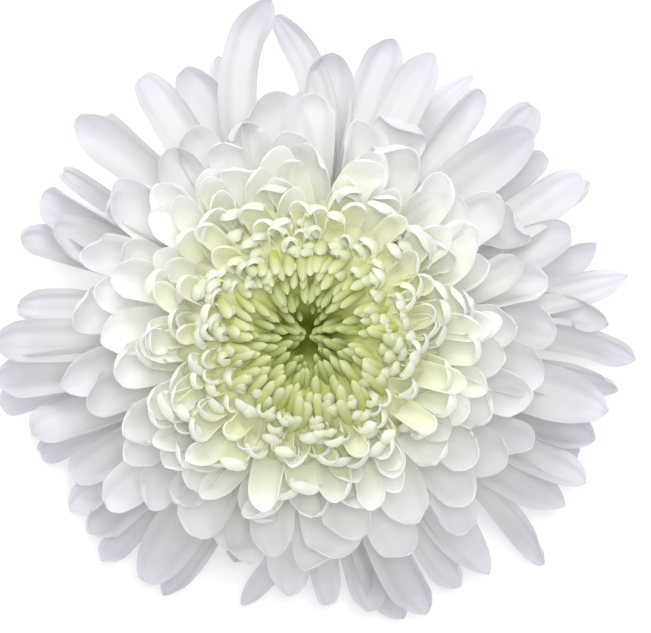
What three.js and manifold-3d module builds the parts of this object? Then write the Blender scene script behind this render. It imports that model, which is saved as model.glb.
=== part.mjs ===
// The picked head of a large white double chrysanthemum, resting face up on the tips of its lowest ray florets.
// Millimetres, +Z up. The surface it rests on is z = 0, and the origin is under the middle of its bounding box.
// The head grows round a vertical axis: a stub of ribbed stem flares into a cup of green bracts, the cup holds a domed
// receptacle, and the florets leave the receptacle in a golden-angle spiral. The innermost stand up and close over a
// small hollow, the next open outwards, and the outermost arch over and droop to the surface.
// The packed stalks of the florets are one dome, and each floret is a blade that stands out of it.

import * as THREE from "three";
import { mergeVertices, mergeGeometries } from "three/addons/utils/BufferGeometryUtils.js";
import Module from "manifold-3d";

const wasm = await Module();
wasm.setup();

// Driving dimensions, in millimetres and degrees.
const AXIS_X = -1.7; // the growing axis, seen from the middle of the bounding box
const AXIS_Y = -5.4;
const STEM_RADIUS = 3.3;
const STEM_RIBS = 9;
const RIB_HEIGHT = 0.35;
const STEM_FOOT = 1.2; // the cut end hangs just clear of the surface
const STEM_TOP = 13.5;
const RECEPTACLE_RADIUS = 10.3;
const RECEPTACLE_FOOT = 18.5;
const RECEPTACLE_RIM = 21;
const RECEPTACLE_DOME = 7;
const GAP = 0.3; // between solids that touch on the real flower
const GOLDEN_ANGLE = 137.508;
const EDGE_PACKED = 0.2; // share of an outermost floret that is packed into the dome
const ROOT_DEPTH = 0.09; // share of its length by which a blade is sunk in the dome
const TURN_STEPS = 14; // sides of the turned solids
const BLADE_THICKNESS = 0.7;
const FLORET_SEED = 11;

// The head from its centre outwards, by how many florets have been passed: where a floret's tip is, how steeply it
// leaves the receptacle and arrives at its tip, how wide and hollow its blade is, and how much of it is packed into
// the dome of stalks.
const RINGS = [
  { count: 0, reach: 1.6, height: 53, leave: 88, arrive: 132, width: 2.3, hollow: 0.1, packed: 0.72 },
  { count: 14, reach: 5, height: 56.5, leave: 86, arrive: 125, width: 2.5, hollow: 0.1, packed: 0.72 },
  { count: 36, reach: 10, height: 59.5, leave: 84, arrive: 112, width: 3, hollow: 0.1, packed: 0.71 },
  { count: 64, reach: 15, height: 61, leave: 80, arrive: 100, width: 3.4, hollow: 0.1, packed: 0.7 },
  { count: 92, reach: 20, height: 61, leave: 76, arrive: 88, width: 4, hollow: 0.1, packed: 0.68 },
  { count: 122, reach: 25.5, height: 59, leave: 70, arrive: 70, width: 6, hollow: 0.11, packed: 0.64 },
  { count: 160, reach: 35, height: 52.5, leave: 60, arrive: 42, width: 8.8, hollow: 0.12, packed: 0.55 },
  { count: 196, reach: 45, height: 42, leave: 46, arrive: 20, width: 10.4, hollow: 0.12, packed: 0.44 },
  { count: 242, reach: 58.5, height: 25, leave: 26, arrive: -2, width: 10.6, hollow: 0.1, packed: 0.32 },
];
const CENTRE_COUNT = 92; // florets of the green eye
const INNER_COUNT = 196; // florets out to the end of the cream ring
const RULED_COUNT = 242; // florets placed by the spiral alone

// The outermost florets, one by one round the edge: azimuth of the tip, reach, width, sideways bend of the tip,
// height of the tip and roll of the blade. A height of 0 marks the three on which the head rests.
const EDGE_FLORETS = [
  [96.5, 73.5, 8.5, -8, 20, 0],
  [96, 69.5, 7, 10, 14, 0],
  [85, 62, 10.7, -1, 15, 0],
  [74, 67, 9.2, -3, 12.5, 8],
  [66, 67.5, 9.6, -2, 17.5, -6],
  [57.5, 67, 6.5, -6, 5, 0],
  [55, 65.5, 8, -1, 7.5, 10],
  [43.5, 65, 10.2, -4, 19, 0],
  [45.5, 71, 8.5, 2, 10, 0],
  [30.5, 70.5, 9, 3, 15, 0],
  [27, 70, 6, 1, 6, 0],
  [20.5, 62.5, 12, 0, 19, 0],
  [22.5, 66, 7, 2, 9, 0],
  [10.5, 71, 7.5, 2, 15, 0],
  [2, 65.5, 7.5, -8, 14, 0],
  [-4.5, 72.5, 7, -7, 9, 0],
  [-9.5, 68.5, 6, -2, 5, 60],
  [-14.5, 66.5, 12, -2, 16, 0],
  [-19, 62, 11, 0, 7.5, 0],
  [-24, 65.5, 7, 1, 6, 0],
  [-28, 68.5, 9, 1, 12.5, 0],
  [-32, 57, 9, 0, 0, 0],
  [-34.5, 66, 9.5, 2, 12.5, 0],
  [-44, 71, 6, -4, 4, 45],
  [-53, 65, 9.5, 1, 10, 0],
  [-59, 63.5, 7, 1, 6, 0],
  [-66.5, 66, 9.5, 3, 11, 0],
  [-71.5, 65.5, 7, 3, 5, 20],
  [-77, 61, 9, 0, 7.5, 0],
  [-85.5, 60.5, 7, 2, 10, 0],
  [-94.5, 53.5, 10.5, 0, 11, 0],
  [-104, 60.5, 5, -12, 4, 10],
  [-108, 51.5, 10, 0, 11, 0],
  [-119, 64.5, 6, -4, 5, 35],
  [-123.5, 64, 11.5, 0, 11, 0],
  [-132.5, 66, 6.5, 0, 5, 0],
  [-138, 64, 9, 0, 9, 0],
  [-146, 56, 9, 0, 0, 0],
  [-149, 59.5, 9.5, 0, 12.5, 0],
  [-156, 65, 6, 1, 5, 0],
  [-160.5, 64, 11, 0, 11, 0],
  [-167, 69.5, 7, 2, 5, 0],
  [-172, 69, 9.5, 0, 10, 0],
  [-178.5, 69, 9.5, 0, 14, 0],
  [174.5, 64, 8, 3, 6, 0],
  [161.5, 66, 8, 2, 5, 0],
  [157.5, 61, 10, 0, 15, 0],
  [152, 66.5, 9, -1, 11, 0],
  [146.5, 66, 4.5, 0, 5, 0],
  [138, 68, 12.5, 2, 15, 0],
  [123, 68, 9, 1, 12.5, 0],
  [115.5, 64.5, 10.5, 4, 6, 0],
  [90, 57, 9, 0, 0, 0],
];

const radians = THREE.MathUtils.degToRad;

// A repeatable draw between -1 and 1 for one floret and one purpose.
function draw(index, purpose) {
  let h = Math.imul(index + FLORET_SEED, 374761393) ^ Math.imul(purpose + 1, 668265263);
  h = Math.imul(h ^ (h >>> 13), 1274126177);
  return ((h ^ (h >>> 16)) >>> 0) / 2147483648 - 1;
}

// The values of RINGS at a floret count, between the rows on either side.
function ringAt(count) {
  const above = Math.max(1, RINGS.findIndex((ring) => ring.count >= count));
  const [a, b] = [RINGS[above - 1], RINGS[above]];
  const share = (count - a.count) / (b.count - a.count);
  return Object.fromEntries(Object.keys(a).map((key) => [key, a[key] + (b[key] - a[key]) * share]));
}

function receptacleHeight(radius) {
  return RECEPTACLE_RIM + RECEPTACLE_DOME * (1 - (radius / RECEPTACLE_RADIUS) ** 2);
}

// Points on the receptacle's dome from the axis outwards, raised by a margin.
function receptacleCurve(radius, margin) {
  const steps = [0, 0.3, 0.55, 0.8, 1];
  return steps.map((share) => [radius * share, receptacleHeight(radius * share) + margin]);
}

// The line of a floret in its own upright plane, from the receptacle to the tip: a curve of radius and height.
function profile({ root, reach, height, leave, arrive }) {
  const start = new THREE.Vector2(root, receptacleHeight(root));
  const tip = new THREE.Vector2(reach, height);
  const chord = start.distanceTo(tip);
  const towards = (degrees, length) =>
    new THREE.Vector2(Math.cos(radians(degrees)), Math.sin(radians(degrees))).multiplyScalar(length);
  return new THREE.CubicBezierCurve(
    start,
    start.clone().add(towards(leave, chord * 0.4)),
    tip.clone().sub(towards(arrive, chord * 0.35)),
    tip,
  );
}

function rootRadius(count) {
  return RECEPTACLE_RADIUS * Math.sqrt(count / (RULED_COUNT + EDGE_FLORETS.length));
}

function ruledProfile(count) {
  return profile({ root: rootRadius(count), ...ringAt(count) });
}

function ruledFloret(index) {
  const ring = ringAt(index);
  const loose = THREE.MathUtils.smoothstep(ring.reach, 20, 50);
  const swirl = 26 * (1 - THREE.MathUtils.smoothstep(ring.reach, 0, 26));
  return {
    azimuth: index * GOLDEN_ANGLE + draw(index, 1) * 3 * loose,
    bend: swirl + draw(index, 2) * (2 + 3 * loose),
    roll: draw(index, 3) * 9 * loose,
    width: ring.width * (1 + 0.12 * draw(index, 4)),
    hollow: ring.hollow,
    packed: ring.packed,
    line: profile({
      ...ring,
      root: rootRadius(index),
      reach: ring.reach + draw(index, 5) * 1.3 * loose,
      height: ring.height + draw(index, 6) * 1.2 * loose,
    }),
  };
}

function edgeFloret([azimuth, reach, width, bend, height, roll]) {
  return {
    azimuth: azimuth - bend,
    bend,
    roll,
    width,
    hollow: 0.1,
    packed: EDGE_PACKED,
    line: profile({
      root: RECEPTACLE_RADIUS - 0.4 - 0.09 * height,
      reach,
      height: height + 0.45,
      leave: 8 + 0.5 * height,
      arrive: 1.2 * height - 34,
    }),
  };
}

// A place on a floret's line, with the directions along it, across it and out of its upper face.
function station(floret, share) {
  const at = (u) => {
    const flat = floret.line.getPoint(u);
    const turn = radians(floret.azimuth + floret.bend * u ** 3);
    return new THREE.Vector3(flat.x * Math.cos(turn), flat.x * Math.sin(turn), flat.y);
  };
  const step = 0.01;
  const along = at(Math.min(1, share + step)).sub(at(Math.min(1, share + step) - 2 * step)).normalize();
  const turn = radians(floret.azimuth + floret.bend * share ** 3);
  const across = new THREE.Vector3(-Math.sin(turn), Math.cos(turn), 0);
  across.addScaledVector(along, -across.dot(along)).normalize();
  across.applyAxisAngle(along, radians(floret.roll) * share);
  return { centre: at(share), along, across, up: new THREE.Vector3().crossVectors(along, across) };
}

// Joins rings of points, each with as many points as the first, into one closed geometry.
function skin(rings) {
  const sides = rings[0].length;
  const faces = [];
  for (let row = 0; row + 1 < rings.length; row++) {
    for (let side = 0; side < sides; side++) {
      const next = (side + 1) % sides;
      const [a, b, c, d] = [row * sides + side, row * sides + next, (row + 1) * sides + next, (row + 1) * sides + side];
      // The lower half is split the other way round, so that both faces of a blade bend along the same lines.
      if (side < sides / 2) faces.push(a, b, c, a, c, d);
      else faces.push(a, b, d, b, c, d);
    }
  }
  const last = (rings.length - 1) * sides;
  for (let side = 1; side + 1 < sides; side++) {
    faces.push(0, side + 1, side);
    faces.push(last, last + side, last + side + 1);
  }
  const geometry = new THREE.BufferGeometry().setFromPoints(rings.flat());
  geometry.setIndex(faces);
  return geometry;
}

// Rows of a blade from its root to its tip: share of the free length and share of the width.
const LONG_OUTLINE = [
  [0, 0.28],
  [0.34, 0.78],
  [0.68, 1],
  [0.9, 0.82],
  [1, 0.36],
];
const SHORT_OUTLINE = [
  [0, 0.34],
  [0.6, 1],
  [0.88, 0.84],
  [1, 0.4],
];
const QUILL_OUTLINE = [
  [0, 0.36],
  [0.72, 1],
  [1, 0.5],
];

// A hollowed strap with thin edges, from inside the dome to the floret's tip.
function blade(floret, outline) {
  const from = floret.packed - ROOT_DEPTH;
  const rings = outline.map(([share, wide], row) => {
    const { centre, along, across, up } = station(floret, from + (1 - from) * share);
    const half = (floret.width * wide) / 2;
    const edge = centre.clone().addScaledVector(up, floret.width * floret.hollow * wide);
    if (row === outline.length - 1) edge.addScaledVector(along, -0.08 * floret.width);
    return [
      edge.clone().addScaledVector(across, -half),
      centre.clone().addScaledVector(up, -0.5 * BLADE_THICKNESS),
      edge.clone().addScaledVector(across, half),
      centre.clone().addScaledVector(up, 0.5 * BLADE_THICKNESS),
    ];
  });
  return skin(rings);
}

// A narrow three-sided quill with a blunt tip, as in the green eye.
function quill(floret) {
  const from = floret.packed - ROOT_DEPTH;
  const rings = QUILL_OUTLINE.map(([share, wide]) => {
    const { centre, across, up } = station(floret, from + (1 - from) * share);
    const half = (floret.width * wide) / 2;
    return [
      centre.clone().addScaledVector(across, -half).addScaledVector(up, 0.35 * half),
      centre.clone().addScaledVector(up, -0.75 * half),
      centre.clone().addScaledVector(across, half).addScaledVector(up, 0.35 * half),
    ];
  });
  return skin(rings);
}

function solid(geometry) {
  const bare = geometry.clone();
  bare.deleteAttribute("normal");
  bare.deleteAttribute("uv");
  const merged = mergeVertices(bare, 1e-4);
  const made = new wasm.Manifold(
    new wasm.Mesh({
      numProp: 3,
      vertProperties: merged.attributes.position.array,
      triVerts: new Uint32Array(merged.index.array),
    }),
  );
  if (made.volume() > 0) return made;
  const turned = merged.index.array;
  for (let i = 0; i < turned.length; i += 3) [turned[i + 1], turned[i + 2]] = [turned[i + 2], turned[i + 1]];
  return new wasm.Manifold(
    new wasm.Mesh({
      numProp: 3,
      vertProperties: merged.attributes.position.array,
      triVerts: new Uint32Array(turned),
    }),
  );
}

function fuse(solids) {
  return wasm.Manifold.union(solids);
}

// The largest body of a solid: what a cut leaves loose is dropped.
function wholeBody(made) {
  return made.decompose().reduce((best, body) => (body.volume() > best.volume() ? body : best));
}

// A closed profile of [radius, height] points, turned round the axis.
function turned(points) {
  const geometry = new THREE.LatheGeometry(
    points.map(([radius, height]) => new THREE.Vector2(radius, height)),
    TURN_STEPS,
  );
  geometry.rotateX(Math.PI / 2);
  return solid(geometry);
}

// Everything nearer the axis than the line of the floret at this count, moved outwards by a margin.
function insideOf(count, margin) {
  const line = ruledProfile(count);
  const points = line.getPoints(4).map((p, i) => {
    const tangent = line.getTangent(i / 4);
    return [p.x + tangent.y * margin, p.y - tangent.x * margin];
  });
  const end = line.getTangent(1);
  const tip = points[points.length - 1];
  const top = [tip[0] + end.x * 60, tip[1] + end.y * 60];
  return turned([[0, 10], [points[0][0], 10], ...points, top, [0, top[1]], [0, 10]]);
}

// The dome of packed floret stalks.
function stalkDome() {
  const crown = RINGS.filter((ring, i) => i % 2 === 0).map((ring) => ruledProfile(ring.count).getPoint(ring.packed));
  const rim = edgeFloret([0, 65, 9, 0, 9, 0]).line.getPoint(EDGE_PACKED);
  const floor = receptacleCurve(RECEPTACLE_RADIUS + GAP, 1.7 * GAP);
  return turned([
    ...floor,
    [rim.x - 1, rim.y - 1.2],
    [rim.x, rim.y],
    ...crown.reverse().map((p) => [p.x, p.y]),
    [0, crown[crown.length - 1].y + 0.4],
    floor[0],
  ]);
}

function stem() {
  const outline = new THREE.Shape();
  const steps = STEM_RIBS * 4;
  for (let i = 0; i < steps; i++) {
    const turn = (i / steps) * 2 * Math.PI;
    const radius = STEM_RADIUS + RIB_HEIGHT * Math.cos(STEM_RIBS * turn);
    if (i === 0) outline.moveTo(radius * Math.cos(turn), radius * Math.sin(turn));
    else outline.lineTo(radius * Math.cos(turn), radius * Math.sin(turn));
  }
  outline.closePath();
  const shaft = new THREE.ExtrudeGeometry(outline, {
    depth: STEM_TOP - STEM_FOOT,
    bevelEnabled: false,
    steps: 1,
  });
  shaft.translate(0, 0, STEM_FOOT);
  return solid(shaft);
}

// Overlapping rows of bracts on the cup: count, height of the root, length, width, lean from upright and radius.
const BRACT_ROWS = [
  { count: 8, foot: 14.8, length: 8, width: 4, lean: 50, radius: 5.4 },
  { count: 12, foot: 17.2, length: 10, width: 4.6, lean: 66, radius: 8.4 },
];
const BRACT_THICKNESS = 0.8;
const BRACT_OUTLINE = [
  [-0.1, 0.7],
  [0.5, 1],
  [1, 0.25],
];

function bract(row, index) {
  const turn = ((index + row.radius) / row.count) * 2 * Math.PI;
  const outwards = new THREE.Vector3(Math.cos(turn), Math.sin(turn), 0);
  const across = new THREE.Vector3(-Math.sin(turn), Math.cos(turn), 0);
  const rings = BRACT_OUTLINE.map(([share, wide]) => {
    const lean = radians(row.lean + 14 * share);
    const along = outwards.clone().multiplyScalar(Math.sin(lean)).setZ(Math.cos(lean));
    const up = new THREE.Vector3().crossVectors(along, across);
    const centre = outwards.clone().multiplyScalar(row.radius).setZ(row.foot);
    centre.addScaledVector(along, row.length * share);
    const half = (row.width * wide) / 2;
    const edge = centre.clone().addScaledVector(up, 0.3 * half);
    return [
      edge.clone().addScaledVector(across, -half),
      centre.clone().addScaledVector(up, -BRACT_THICKNESS / 2),
      edge.clone().addScaledVector(across, half),
      centre.clone().addScaledVector(up, BRACT_THICKNESS / 2),
    ];
  });
  return solid(skin(rings));
}

function involucre() {
  const cup = turned([
    [0, STEM_TOP + GAP],
    [STEM_RADIUS + 0.3, STEM_TOP + GAP],
    [6, 15.6],
    [RECEPTACLE_RADIUS, RECEPTACLE_FOOT - 0.6],
    [RECEPTACLE_RADIUS + 0.4, RECEPTACLE_FOOT + 0.6],
    [RECEPTACLE_RADIUS - 0.8, RECEPTACLE_FOOT - GAP],
    [0, RECEPTACLE_FOOT - GAP],
    [0, STEM_TOP + GAP],
  ]);
  const bracts = BRACT_ROWS.flatMap((row) => Array.from({ length: row.count }, (_, i) => bract(row, i)));
  return fuse([cup, ...bracts]);
}

function receptacle() {
  const foot = [0, RECEPTACLE_FOOT];
  return turned([foot, [RECEPTACLE_RADIUS - 1.2, RECEPTACLE_FOOT], ...receptacleCurve(RECEPTACLE_RADIUS, 0).reverse(), foot]);
}

function meshOf(made, name, colour, roughness) {
  const source = made.getMesh();
  const geometry = new THREE.BufferGeometry();
  const positions = new Float32Array(source.numVert * 3);
  for (let i = 0; i < source.numVert; i++) {
    positions.set(source.vertProperties.subarray(i * source.numProp, i * source.numProp + 3), i * 3);
  }
  geometry.setAttribute("position", new THREE.BufferAttribute(positions, 3));
  geometry.setIndex(new THREE.BufferAttribute(source.triVerts, 1));
  geometry.computeVertexNormals();
  const mesh = new THREE.Mesh(geometry, new THREE.MeshStandardMaterial({ color: colour, roughness, metalness: 0 }));
  mesh.name = name;
  return mesh;
}

const range = (from, to) => Array.from({ length: to - from }, (_, i) => from + i);
const dome = stalkDome();
const eye = fuse([dome, ...range(1, CENTRE_COUNT).map((i) => solid(quill(ruledFloret(i))))]);
const creamRing = fuse([
  dome,
  ...range(CENTRE_COUNT, INNER_COUNT).map((i) => solid(blade(ruledFloret(i), SHORT_OUTLINE))),
]);
const whiteRing = fuse([
  dome,
  ...range(INNER_COUNT, RULED_COUNT).map((i) => solid(blade(ruledFloret(i), SHORT_OUTLINE))),
  ...EDGE_FLORETS.map((row) => solid(blade(edgeFloret(row), LONG_OUTLINE))),
]);

const head = new THREE.Group();
head.add(
  meshOf(stem(), "stem_stub", 0x7d9a4c, 0.6),
  meshOf(involucre(), "involucre", 0x6f8f45, 0.65),
  meshOf(receptacle(), "receptacle", 0xc9d6a0, 0.7),
  meshOf(wholeBody(eye.intersect(insideOf(CENTRE_COUNT - 0.5, 0))), "centre_florets", 0xb9c46a, 0.5),
  meshOf(
    wholeBody(creamRing.subtract(insideOf(CENTRE_COUNT - 0.5, GAP)).intersect(insideOf(INNER_COUNT - 0.5, 0))),
    "inner_ray_florets",
    0xe4e8c4,
    0.5,
  ),
  meshOf(wholeBody(whiteRing.subtract(insideOf(INNER_COUNT - 0.5, GAP))), "outer_ray_florets", 0xf0f0f2, 0.5),
);

// The head is set down on its lowest tips.
const lowest = new THREE.Box3().setFromObject(head).min.z;
head.position.set(AXIS_X, AXIS_Y, -lowest);

export default head;
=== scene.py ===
"""The finished surfaces of a picked white chrysanthemum head, laid out as an add-on and run as a script.

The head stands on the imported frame: its growing axis and its lift come from the frame's receptacle. Lengths
in the tables are millimetres and angles are degrees, and they become metres and radians where a mesh is made.
"""

import math

import bpy
import numpy as np
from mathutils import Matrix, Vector


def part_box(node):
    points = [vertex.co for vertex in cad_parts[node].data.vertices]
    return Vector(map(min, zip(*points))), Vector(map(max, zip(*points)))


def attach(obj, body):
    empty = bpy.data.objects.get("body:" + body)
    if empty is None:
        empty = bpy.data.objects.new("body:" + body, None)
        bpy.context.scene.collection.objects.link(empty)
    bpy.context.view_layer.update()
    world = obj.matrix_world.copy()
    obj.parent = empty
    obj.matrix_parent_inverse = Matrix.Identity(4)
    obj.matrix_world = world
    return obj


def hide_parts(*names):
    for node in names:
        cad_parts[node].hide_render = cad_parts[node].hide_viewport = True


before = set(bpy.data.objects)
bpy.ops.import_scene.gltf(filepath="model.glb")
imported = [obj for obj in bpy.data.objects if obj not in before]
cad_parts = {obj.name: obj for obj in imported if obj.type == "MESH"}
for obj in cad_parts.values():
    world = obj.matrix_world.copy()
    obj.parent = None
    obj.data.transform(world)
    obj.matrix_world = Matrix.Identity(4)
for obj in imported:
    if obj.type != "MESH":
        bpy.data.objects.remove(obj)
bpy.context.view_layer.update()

bl_info = {
    "name": "Chrysanthemum head",
    "version": (1, 0, 0),
    "blender": (4, 5, 0),
    "location": "3D View > Sidebar > Flower",
    "description": "Florets, bracts and stem of a large double chrysanthemum",
    "category": "Add Mesh",
}

MM = 0.001
GOLDEN_ANGLE = 137.508
DRAW_SEED = 71

# The green parts, as the frame has them.
RECEPTACLE_RADIUS = 10.3
RECEPTACLE_FOOT = 18.5
RECEPTACLE_RIM = 21.0
RECEPTACLE_DOME = 7.0
STEM_RIBS = 9
RECEPTACLE_LOW, RECEPTACLE_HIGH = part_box("receptacle")
AXIS = (RECEPTACLE_LOW + RECEPTACLE_HIGH) / 2
LIFT = RECEPTACLE_LOW.z - RECEPTACLE_FOOT * MM

# The head from its centre outwards, by how many florets have been passed: tip reach and height, angles at
# which a floret leaves the receptacle and arrives at its tip, its visible width, how far its section rolls up
# at the root, the middle and the tip, how far and over what length its tip curls, how far it swirls, where on
# its line its blade starts, and over what share of its span the line runs on towards the tip.
RING_KEYS = (
    "count", "reach", "height", "leave", "arrive", "width", "rolled", "channel", "cup", "hook", "curl",
    "swirl", "start", "overhang",
)
RINGS = np.array([
    (0, 0.8, 57.0, 88, 150, 1.2, 310, 300, 270, 15, 1.6, 10, 0.5, 0.5),
    (38, 5, 58.8, 86, 166, 1.6, 310, 300, 280, 10, 1.8, 10, 0.5, 0.6),
    (94, 10, 60.2, 84, 166, 1.9, 310, 300, 290, 5, 2.0, 9, 0.5, 0.62),
    (156, 14.5, 61, 82, 148, 2.2, 320, 315, 320, 5, 2.4, 7, 0.5, 0.56),
    (202, 18, 60.7, 80, 112, 2.7, 340, 340, 340, 45, 3, 4, 0.46, 0.46),
    (238, 21.5, 59.4, 80, 66, 3.2, 330, 280, 280, 95, 3.6, 3, 0.44, 0.4),
    (282, 26, 56.8, 80, 22, 4.0, 330, 220, 240, 130, 4.8, 2, 0.42, 0.36),
    (326, 30, 54.4, 79, 0, 4.8, 320, 195, 225, 135, 5.6, 0, 0.4, 0.36),
    (368, 34.5, 51.6, 76, -10, 5.7, 310, 180, 220, 130, 6.5, 0, 0.38, 0.36),
    (412, 38.5, 48.4, 70, -14, 6.9, 295, 165, 210, 105, 8, 0, 0.34, 0.35),
    (452, 42, 44.6, 58, -14, 7.8, 270, 150, 190, 70, 7.5, 0, 0.28, 0.35),
    (490, 50, 36, 40, -10, 9.4, 270, 135, 175, 55, 8, 0, 0.22, 0.35),
    (530, 58.5, 25, 26, -10, 10, 260, 115, 155, 50, 9, 0, 0.14, 0.35),
])
EYE_END = 238
CREAM_END = 342
SPIRAL_END = 448
FLORETS_IN_ALL = 580
REACH_OF_ALL = 72.0
# Spiral florets that sit lower than their ring, so that their tips stay under a neighbour's blade.
SETTLED = {347: 2.2, 359: 1.4, 382: 1.6, 384: 1.4, 386: 1.2, 395: 1.4, 413: 1.4, 445: 1.2}

# The white florets inside the edge, one by one: azimuth of the tip, reach, visible width, sideways bend of
# the tip, lift above its ring, roll of the blade, curl of the tip and how hollow the blade is.
SECOND_FLORETS = (
    (0, 56, 10, -2, -2, 0, 45, 95),
    (3, 49, 10, 0, 0, 5, 50, 105),
    (10, 41.5, 8, 0, 0, 0, 90, 135),
    (12, 55, 9, 2, 0, -10, 45, 115),
    (20, 51, 7.5, 0, 1, 10, 50, 135),
    (22, 45, 9, -3, 0, 15, 60, 125),
    (23, 55, 9, -22, 0, 30, 40, 105),
    (32, 45, 8.5, 2, -1, 0, 45, 115),
    (35, 53.5, 10, 0, 0, 0, 60, 95),
    (40, 47, 9.5, 3, 1, -10, 60, 125),
    (42, 40, 10, 0, 1, 0, 70, 165),
    (50, 47, 9, -2, 0, 5, 45, 115),
    (61, 51, 13, 2, 1, 0, 45, 90),
    (64, 56.5, 11.5, -3, 0, -15, 110, 75),
    (70, 44.5, 9, 0, 0, 10, 50, 125),
    (77, 51, 11, 2, 1, 0, 60, 105),
    (88, 54, 10, 0, -1, 0, 50, 100),
    (90, 44, 9.5, -2, 0, -10, 60, 125),
    (97.5, 47.5, 11, 1, 1, 0, 80, 105),
    (100.5, 56.5, 15, 3, 1, 8, 60, 85),
    (107, 52, 9.5, -2, -1, 0, 50, 105),
    (114, 48.5, 9, 2, 0, -20, 60, 125),
    (116.5, 43.5, 12.5, 0, 1, 0, 90, 100),
    (121.5, 54.5, 9.5, -2, 0, 0, 60, 105),
    (128, 53, 9, 0, -1, 5, 45, 110),
    (134, 48, 8.5, 3, 1, -30, 60, 170),
    (141, 55, 10, 0, 0, 0, 45, 95),
    (143, 44, 8.5, 0, 0, 10, 50, 125),
    (148.5, 56.5, 9, 4, 0, 10, 45, 110),
    (154.5, 47.5, 8.5, 0, 0, 0, 80, 135),
    (160, 55.5, 9, 0, 0, 0, 50, 105),
    (162, 46, 8, 0, 0, -15, 60, 125),
    (168, 49.5, 8, -3, -1, 0, 50, 125),
    (175, 55.5, 9.5, 2, 0, 0, 50, 100),
    (-178, 47, 9.5, 0, 0, 10, 60, 115),
    (-176, 40, 7.5, 0, 1, 0, 90, 135),
    (-170, 46, 10, 0, 0, 0, 50, 105),
    (-168, 56, 9, 2, 0, 5, 45, 105),
    (-162, 53.5, 10, 0, 0, 0, 60, 100),
    (-156, 41, 7.5, 0, 1, 0, 90, 135),
    (-151, 47, 9, 0, 0, 0, 70, 170),
    (-145, 50, 9, -2, 0, -10, 70, 105),
    (-140, 60, 9.5, -3, 0, 0, 60, 95),
    (-138, 44.5, 8, 0, 1, 0, 70, 165),
    (-133, 54, 9.5, 2, 0, 0, 50, 100),
    (-127, 50, 8.5, 0, 0, 20, 45, 115),
    (-126, 43.5, 8.5, 0, 0, 0, 60, 125),
    (-119, 52, 11.5, 2, 0, 0, 50, 95),
    (-112, 53.5, 9.5, 0, -1, 0, 50, 105),
    (-107, 46, 9.5, 0, 0, -10, 60, 120),
    (-104, 54, 9, 3, -1, 0, 45, 100),
    (-98, 50, 9.5, 0, 0, 10, 50, 105),
    (-90, 54, 10.5, 0, 0, 0, 50, 95),
    (-88, 44, 9.5, 0, 0, 0, 60, 120),
    (-82, 52, 11.5, -2, 1, 0, 50, 90),
    (-75, 47, 9.5, 2, 0, 10, 60, 115),
    (-73, 41, 7.5, 0, -0.5, 0, 60, 170),
    (-66, 55, 10, 0, 0, 0, 50, 100),
    (-60, 49.5, 11.5, 0, 0, 0, 75, 95),
    (-53, 58, 8.5, -3, 0, -15, 70, 95),
    (-46, 53, 10, 2, 0, 0, 50, 100),
    (-43.5, 44, 8.5, 0, 0, 0, 90, 125),
    (-36, 48, 9, 0, 0, 10, 50, 120),
    (-33, 54, 10, 0, 0, 0, 50, 95),
    (-26, 57.5, 8.5, 0, 0, 0, 75, 100),
    (-26, 41, 7.5, 0, 1, 0, 90, 125),
    (-23.5, 47, 9.5, -2, 0, 0, 70, 165),
    (-16, 52.5, 10.5, 0, 0, -10, 60, 105),
    (-9, 54, 11, 2, 0, 0, 50, 95),
    (-6, 45, 9.5, 0, 0, 10, 50, 120),
)

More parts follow.
